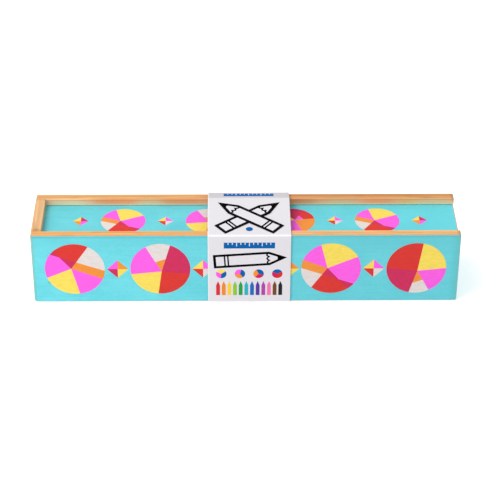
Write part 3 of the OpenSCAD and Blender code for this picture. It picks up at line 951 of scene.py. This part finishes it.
class PENCILBOX_OT_sleeve(bpy.types.Operator):
    """Folds the card sleeve round the box and prints it"""

    bl_idname = "pencil_box.sleeve"
    bl_label = "Sleeve"
    crease_radius = 2.5 * MM
    # The radius of the slack back fold, and how far the card is cracked round a fold, in sharp folds' radii
    back_fold, crack_reach = 1.5, 1.3
    # The white of the cut edge, partly painted highlight, and the painted shade that greys the strip behind
    # the crease, which ends just under the top
    cut_reach, cut_white = 0.4 * MM, 0.6
    handled_grey, handled_fade, handled_under = 0.19, 1 * MM, 0.2 * MM
    strip_size = (25 * MM, 3.4 * MM)

    def execute(self, context):
        wanted = settings("sleeve")
        card = BOX_LOW[2] - SLEEVE_LOW[2]
        half = card / 2
        front, back = SLEEVE_LOW[1] + half, SLEEVE_HIGH[1] - half
        under, peak = SLEEVE_LOW[2] + half, SLEEVE_HIGH[2] - half
        over = peak - wanted.crease_rise
        inside = back - card
        # From the top of the glued tab down, under the box, up the front, over it and down the back
        turns = np.array([
            (inside, BOX_LOW[2] + wanted.tab_top),
            (inside, under),
            (front, under),
            (front, over),
            (back - wanted.crease_from_back, peak),
            (back, over),
            (back, under + card),
        ])
        tight = wanted.fold_radius
        radii = (tight, tight, tight, self.crease_radius, self.back_fold * tight)
        path = rounded_path(turns, radii, rows=15)
        columns = 33
        share = (1 - np.cos(np.linspace(0, np.pi, columns))) / 2
        along = SLEEVE_LOW[0] + (SLEEVE_HIGH[0] - SLEEVE_LOW[0]) * share
        points = np.empty((len(path), columns, 3))
        points[..., 0] = along
        points[..., 1:] = path[:, None]
        self.bow(points, path, turns)
        grid, boxboard = grid_faces(*points.shape[:2]), folding_card()
        piece = new_piece(
            "card_sleeve", points.reshape(-1, 3), grid, [boxboard], "card_sleeve", ["sleeve"],
            smooth=True,
        )
        # White is thickest at a fold and at the cut edge, and fades from both as a bell curve does
        away = np.linalg.norm(path[:, None] - turns[None, (2, 3, 5)], axis=2).min(1)
        cracked = np.exp(-((away / (self.crack_reach * tight)) ** 2))
        # Only the cut edge at the low end, towards the lamps, is whitened: partly the card's white core,
        # partly painted highlight
        cut = self.cut_white * np.exp(-(((along - along[0]) / self.cut_reach) ** 2))
        # Painted shade: the slack strip behind the crease is greyed, down to just under the top
        behind = np.clip((path[:, 0] - turns[4][0]) / self.handled_fade + 0.5, 0, 1)
        on_top = path[:, 1] > over - self.handled_under
        handled = self.handled_grey * behind * on_top
        for kind, values in (
            ("fold", np.maximum(cracked[:, None], cut)),
            ("handled", np.repeat(handled, columns)),
        ):
            attribute = piece.data.attributes.new(kind, "FLOAT", "POINT")
            attribute.data.foreach_set("value", values.ravel())
        thicken(piece, card, 0.0)
        evened = piece.modifiers.new("flat panels", "WEIGHTED_NORMAL")
        evened.weight = 90
        self.print_on(turns, half)
        return {"FINISHED"}

    def bow(self, points, path, turns):
        """Bows the slack top: each point of it sinks by a share of the bow that is nothing at the folds and
        at the crease and most halfway, and that swings once along the box, as a sine does."""
        wanted = settings("sleeve")
        low_y, peak_y = turns[3][0], turns[4][0]
        share = np.clip((path[:, 0] - low_y) / (peak_y - low_y), 0, 1)
        on_top = path[:, 1] > turns[3][1] - wanted.fold_radius / 2
        across = np.sin(np.pi * share) * on_top
        along = np.linspace(-1, 1, points.shape[1])
        points[..., 2] -= wanted.bow * across[:, None] * (0.6 + 0.4 * np.sin(2.2 * along + 0.6))

    def print_on(self, turns, half):
        """Draws on the front and the top of the sleeve. Each sheet lies a hair over its panel."""
        ink, hair, depth = screen_ink("offset ink on card", 0.1, shine=0.02), 0.005 * MM, 0.02 * MM
        middle = (SLEEVE_LOW[0] + SLEEVE_HIGH[0]) / 2
        panels = {
            "sleeve_front_print": (self.draw_front, turns[2], turns[3]),
            "sleeve_top_print": (self.draw_top, turns[3], turns[4]),
            "sleeve_strip_print": (self.draw_strip, turns[4], turns[5]),
        }
        for name, (draw, start, end) in panels.items():
            reach = np.linalg.norm(end - start)
            up = np.array([0.0, *((end - start) / reach)])
            across = np.array([1.0, 0.0, 0.0])
            origin = np.array([middle, *start]) + np.cross(across, up) * (half + hair)
            draw(reach).lay(name, origin, across, up, depth, ink, "card_sleeve", "sleeve_card")

    def drawn_pencil(self, sheet, centre, size, angle, width, level=0):
        """A line drawing of a pencil: a barrel and a sharpened end over a filled ground, with two lines for
        its cap, the edge of its lacquer and its point. Its parts are shares of its half width."""
        wanted = settings("sleeve")
        black, card = tuple(wanted.black), tuple(wanted.card)
        turn = np.array([[math.cos(angle), math.sin(angle)], [-math.sin(angle), math.cos(angle)]])
        half_l, half_w = np.array(size) / 2
        neck, cap = half_l - 2.2 * half_w, 1.5 * half_w - half_l
        outline = [(-half_l, -half_w), (neck, -half_w), (half_l, 0), (neck, half_w), (-half_l, half_w)]
        outline = np.array(outline) @ turn + centre
        sheet.fill(outline, card, level)
        sheet.line(outline, width, black, True, level + 1)
        wave = np.linspace(-1, 1, 25)
        scallops = np.abs(np.sin(1.5 * np.pi * (wave + 1)))
        edge = np.column_stack([neck - 0.3 * half_w * scallops, half_w * wave])
        bands = [np.array([(x, -half_w), (x, half_w)]) for x in (cap, cap + 0.5 * half_w)]
        for line in (edge, *bands):
            sheet.line(line @ turn + centre, width * 0.6, black, False, level + 1)
        lead_x, lead_y = half_l - 0.95 * half_w, 0.43 * half_w
        point = np.array([(lead_x, -lead_y), (half_l, 0), (lead_x, lead_y)])
        sheet.fill(point @ turn + centre, black, level + 1)

    def ruled_strip(self, sheet, centre):
        """A short strip of ruler with its ticks, of which each third is long."""
        wanted = settings("sleeve")
        half_x, half_y = np.array(self.strip_size) / 2
        low_x, high_y = centre[0] - half_x, centre[1] + half_y
        spaces, long, short, width = 12, 1.24 * half_y, 0.76 * half_y, 0.24 * half_y
        outline = np.array([(-half_x, -half_y), (half_x, -half_y), (half_x, half_y), (-half_x, half_y)])
        sheet.fill(outline + centre, tuple(wanted.blue))
        for number in range(1, spaces):
            x, foot = low_x + 2 * half_x * number / spaces, high_y - (short if number % 3 else long)
            sheet.line([(x, high_y), (x, foot)], width, tuple(wanted.card), False, 1)

    def draw_front(self, height):
        """On the front: a strip of ruler, a pencil, four small block discs and a row of coloured pencils."""
        wanted = settings("sleeve")
        # What lies where, by how far it is under the top fold
        strip_y, pencil_y, disc_y = (height - down * MM for down in (5.7, 14.0, 22.4))
        tip, neck, low = (height - down * MM for down in (26.8, 29.2, 35.2))
        sheet = Print()
        self.ruled_strip(sheet, (0, strip_y))
        self.drawn_pencil(sheet, (0, pencil_y), (34 * MM, 6.6 * MM), math.radians(4), wanted.line)
        # The band, which parts the blocks of a large disc, misses these
        disc_radius, discs_apart, band = 2.6 * MM, 9.2 * MM, 9 * MM
        inks = [tuple(getattr(settings("print"), n)) for n in ("yellow", "pink", "orange", "crimson", "red")]
        pairs = list(zip(inks, inks[1:]))
        for number, pair in enumerate(pairs):
            spokes = np.radians([35.0, 150.0, 265.0]) + number * 0.7
            points, triangles, block = cut_blocks(disc(disc_radius, 32), np.zeros(2), spokes, 0.0, band)
            shades = np.array([*pair, tuple(wanted.blue)])
            x = (number - (len(pairs) - 1) / 2) * discs_apart
            sheet.put(points + (x, disc_y), triangles, shades[block])
        half, pencils_apart = 0.95 * MM, 2.8 * MM
        for number, code in enumerate(PENCIL_LACQUERS):
            x = (number - (len(PENCIL_LACQUERS) - 1) / 2) * pencils_apart
            outline = [(x - half, low), (x + half, low), (x + half, neck), (x, tip), (x - half, neck)]
            sheet.fill(outline, linear(code))
        return sheet

    def draw_top(self, height):
        """On the top: two crossed pencils over a blue disc."""
        wanted = settings("sleeve")
        sheet = Print()
        centre, size = np.array([0, height / 2]), (35 * MM, 7.2 * MM)
        dot_radius, dot_down = 1.7 * MM, 10.8 * MM
        for side, level in ((-1, 0), (1, 2)):
            angle = math.radians(90 + side * 52)
            self.drawn_pencil(sheet, centre, size, angle, 1.3 * wanted.line, level)
        sheet.fill(centre - (0, dot_down) + disc(dot_radius, 32), tuple(wanted.blue))
        return sheet

    def draw_strip(self, height):
        """Beyond the slack crease: a strip of ruler."""
        sheet = Print()
        self.ruled_strip(sheet, (0, height / 2))
        return sheet


class PENCILBOX_OT_pencils(bpy.types.Operator):
    """Turns the casings and the cores of the pencils"""

    bl_idname = "pencil_box.pencils"
    bl_label = "Pencils"
    # The cone from a sharp point to the full radius, and the gap between the casing and its core
    cone_length, glue_gap = 22 * MM, 0.02 * MM
    # The dull point of the core, the rounded edge of the casing's end, and how high the lacquer's waves go
    blunt, end_edge, wave_height = 0.4 * MM, 0.5 * MM, 0.3 * MM
    # The stretches before and past the shoulder that wave with it, and the last stretch of the bore
    lip, rim, land = 0.05 * MM, 0.4 * MM, 2 * MM
    # The points round a quarter turn, and the angle from which an edge is sharp
    quarter, sharp = np.linspace(0, np.pi / 2, 5), math.radians(30)

    def execute(self, context):
        cedar = cut_cedar()
        for number, name in enumerate(PENCILS):
            code = PENCIL_LACQUERS[number % len(PENCIL_LACQUERS)]
            self.make_casing(name, number, lacquer(f"pencil lacquer {number + 1}", code), cedar)
            self.make_core(name, pigment(f"pigment core {number + 1}", code))
        return {"FINISHED"}

    def measure(self, name):
        """The axis, the ends and the radii of one pencil, from its nodes."""
        low, high = corners(f"{name}_casing")
        core_low, core_high = corners(f"{name}_core")
        axis = (low[1:] + high[1:]) / 2
        return axis, low[0], high[0], core_low[0], (high[2] - low[2]) / 2, (core_high[2] - core_low[2]) / 2

    def make_casing(self, name, number, coat, cedar):
        """A tube turned round the core: a cone of cut wood, the lacquered barrel and a rounded end. The
        cone's edge on the lacquer waves round the pencil as a sum of two sines."""
        axis, start, end, _, radius, core = self.measure(name)
        bore, edge = core + self.glue_gap, self.end_edge
        run = self.cone_length / radius
        shoulder = start + (radius - bore) * run
        profile = np.array(
            [(start, bore), (shoulder - self.lip, radius - self.lip / run)]
            + [(shoulder, radius), (shoulder + self.rim, radius)]
            + [(end - edge + edge * math.sin(a), radius - edge + edge * math.cos(a)) for a in self.quarter]
            + [(end, bore), (end - self.land, bore), (start + self.land, bore)]
        )
        sides = 48
        angle = 2 * np.pi * np.arange(sides) / sides
        wobble = np.zeros((len(profile), sides))
        wobble[1:4] = self.wave_height * (np.sin(3 * angle + number) + 0.5 * np.sin(5 * angle + 2.3 * number))
        row = np.arange(len(profile)).repeat(sides)
        bare = (row < 2) | (row >= 8)
        points, faces = turned(profile, *axis, sides, wobble), grid_faces(len(profile), sides, True, True)
        piece = new_piece(
            f"{name}_barrel", points, faces, [coat, cedar], f"{name}_body",
            [f"{name}_casing"], bare.astype(int), True,
        )
        weld(piece)
        piece.data.set_sharp_from_angle(angle=self.sharp)

    def make_core(self, name, wax):
        """A rod of pigment with a blunted cone at its point."""
        axis, _, end, tip, radius, core = self.measure(name)
        end, sides = end + self.glue_gap, 32
        shoulder = tip + (core - self.blunt) * self.cone_length / radius
        profile = np.array(
            [(tip + self.blunt * 0.5 * (1 - math.cos(a)), self.blunt * math.sin(a)) for a in self.quarter]
            + [(shoulder, core), (end, core), (end, 0.0)]
        )
        points, faces = turned(profile, *axis, sides), grid_faces(len(profile), sides, False, True)
        piece = new_piece(
            f"{name}_lead", points, faces, [wax], f"{name}_body", [f"{name}_core"],
            smooth=True,
        )
        weld(piece)
        piece.data.set_sharp_from_angle(angle=self.sharp)


class PENCILBOX_OT_ruler(bpy.types.Operator):
    """Makes the ruler with its bevel, its scale and its numbers"""

    bl_idname = "pencil_box.ruler"
    bl_label = "Ruler"
    bevel_width, edge_height, eased_edge = 6 * MM, 0.9 * MM, 0.18 * MM
    scale_cm = 15
    # Where the ticks start and how wide they are, and how far up they reach at a centimetre, a half and else
    tick_foot, tick_width, tick_reaches = 0.5 * MM, 0.2 * MM, (5.2 * MM, 4 * MM, 2.6 * MM)
    # How far the numbers stand over the bevel, and how tall they are
    number_foot, number_size = 1.6 * MM, 3.4 * MM
    ink_lift, ink_depth = 0.01 * MM, 0.02 * MM

    def execute(self, context):
        low, high = corners("ruler")
        outline = np.array([
            (low[1], low[2]), (high[1], low[2]), (high[1], high[2]),
            (low[1] + self.bevel_width, high[2]), (low[1], low[2] + self.edge_height),
        ])
        rows, count = 9, len(outline)
        points = np.empty((rows, count, 3))
        points[..., 0] = np.linspace(low[0], high[0], rows)[:, None]
        points[..., 1:] = outline
        points = points.reshape(-1, 3)
        faces = [*grid_faces(rows, count, False, True), range(count), range(len(points) - count, len(points))]
        beech = lacquered_beech()
        piece = new_piece("beech_ruler", points, faces, [beech], "loose_ruler", ["ruler"])
        weld(piece)
        eased = piece.modifiers.new("eased edges", "BEVEL")
        eased.width = self.eased_edge
        eased.segments = 2
        eased.limit_method = "ANGLE"
        self.print_scale(low, high)
        return {"FINISHED"}

    def print_scale(self, low, high):
        """Ticks at each millimetre down the bevel, and a number at each centimetre."""
        ink = screen_ink("ruler ink", 0.1)
        black = tuple(settings("contents").ruler_ink)
        first = (low[0] + high[0]) / 2 - self.scale_cm * 5 * MM
        ticks = Print()
        for number in range(self.scale_cm * 10 + 1):
            x, reach = first + number * MM, self.tick_reaches[(number % 10 > 0) + (number % 5 > 0)]
            ticks.line([(x, self.tick_foot), (x, reach)], self.tick_width, black)
        across = np.array([1.0, 0.0, 0.0])
        slant = np.array([0.0, self.bevel_width, high[2] - low[2] - self.edge_height])
        slant /= np.linalg.norm(slant)
        edge = np.array([0.0, low[1], low[2] + self.edge_height]) + np.cross(across, slant) * self.ink_lift
        ticks.lay("ruler_ticks", edge, across, slant, self.ink_depth, ink, "loose_ruler", "ruler_wood")
        numbers = Print()
        for number in range(self.scale_cm + 1):
            points, faces = self.digits(str(number), self.number_size)
            place = (first + number * 10 * MM, self.bevel_width + self.number_foot)
            numbers.put(points + place, faces, black)
        top = (0.0, low[1], high[2] + self.ink_lift)
        numbers.lay("ruler_numbers", top, across, (0, 1, 0), self.ink_depth, ink, "loose_ruler", "ruler_wood")

    def digits(self, words, size):
        """The flat shapes of a number, centred on its own middle."""
        curve = bpy.data.curves.new("number", "FONT")
        curve.body = words
        curve.size = size
        curve.align_x = "CENTER"
        holder = bpy.data.objects.new("number", curve)
        mesh = holder.to_mesh()
        points = np.array([tuple(v.co)[:2] for v in mesh.vertices])
        faces = [list(p.vertices) for p in mesh.polygons]
        holder.to_mesh_clear()
        bpy.data.objects.remove(holder)
        bpy.data.curves.remove(curve)
        return points, faces


class PENCILBOX_OT_sharpener(bpy.types.Operator):
    """Gives the sharpener its metals"""

    bl_idname = "pencil_box.sharpener"
    bl_label = "Sharpener"

    def execute(self, context):
        contents = settings("contents")
        # Milled magnesium: bright grey metal, satin, with fine milling lines along the body
        lines_mm = (0.12, 9.0, 0.12)
        dress("sharpener_body", worked_metal("milled magnesium", contents.metal, lines_mm, 0.32, 0.48, 0.01))
        # Ground and polished steel: darker than the body, with scratches along the grinding
        steel = worked_metal("ground steel", contents.steel, (5.0, 0.08, 0.08), 0.18, 0.32, 0.006)
        dress("sharpener_blade", steel)
        dress("sharpener_screw", steel)
        return {"FINISHED"}


GROUPS = {
    "stage": PENCILBOX_PG_stage,
    "wood": PENCILBOX_PG_wood,
    "print": PENCILBOX_PG_print,
    "sleeve": PENCILBOX_PG_sleeve,
    "contents": PENCILBOX_PG_contents,
}
OPERATORS = (
    PENCILBOX_OT_stage,
    PENCILBOX_OT_walls,
    PENCILBOX_OT_wall_print,
    PENCILBOX_OT_lid,
    PENCILBOX_OT_sleeve,
    PENCILBOX_OT_pencils,
    PENCILBOX_OT_ruler,
    PENCILBOX_OT_sharpener,
)


class PENCILBOX_PT_panel(bpy.types.Panel):
    """Lists the settings and the pieces of the box."""

    bl_idname = "PENCILBOX_PT_panel"
    bl_label = "Pencil Box"
    bl_space_type = "VIEW_3D"
    bl_region_type = "UI"
    bl_category = "Pencil Box"

    def draw(self, context):
        for operator in OPERATORS:
            self.layout.operator(operator.bl_idname)
        for name, group in GROUPS.items():
            column = self.layout.box().column()
            column.label(text=name.capitalize())
            for setting in group.__annotations__:
                column.prop(settings(name), setting)


def register():
    """Registers the settings, the operators and the panel."""
    for made in (*GROUPS.values(), *OPERATORS, PENCILBOX_PT_panel):
        bpy.utils.register_class(made)
    for name, group in GROUPS.items():
        setattr(bpy.types.Scene, f"pencil_box_{name}", bpy.props.PointerProperty(type=group))


def unregister():
    """Takes them all away again."""
    for name in GROUPS:
        delattr(bpy.types.Scene, f"pencil_box_{name}")
    for made in (PENCILBOX_PT_panel, *reversed(OPERATORS), *GROUPS.values()):
        bpy.utils.unregister_class(made)


def main():
    """Makes every piece in turn."""
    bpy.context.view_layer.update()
    register()
    for operator in OPERATORS:
        group, name = operator.bl_idname.split(".")
        getattr(getattr(bpy.ops, group), name)()


if __name__ == "__main__":
    main()
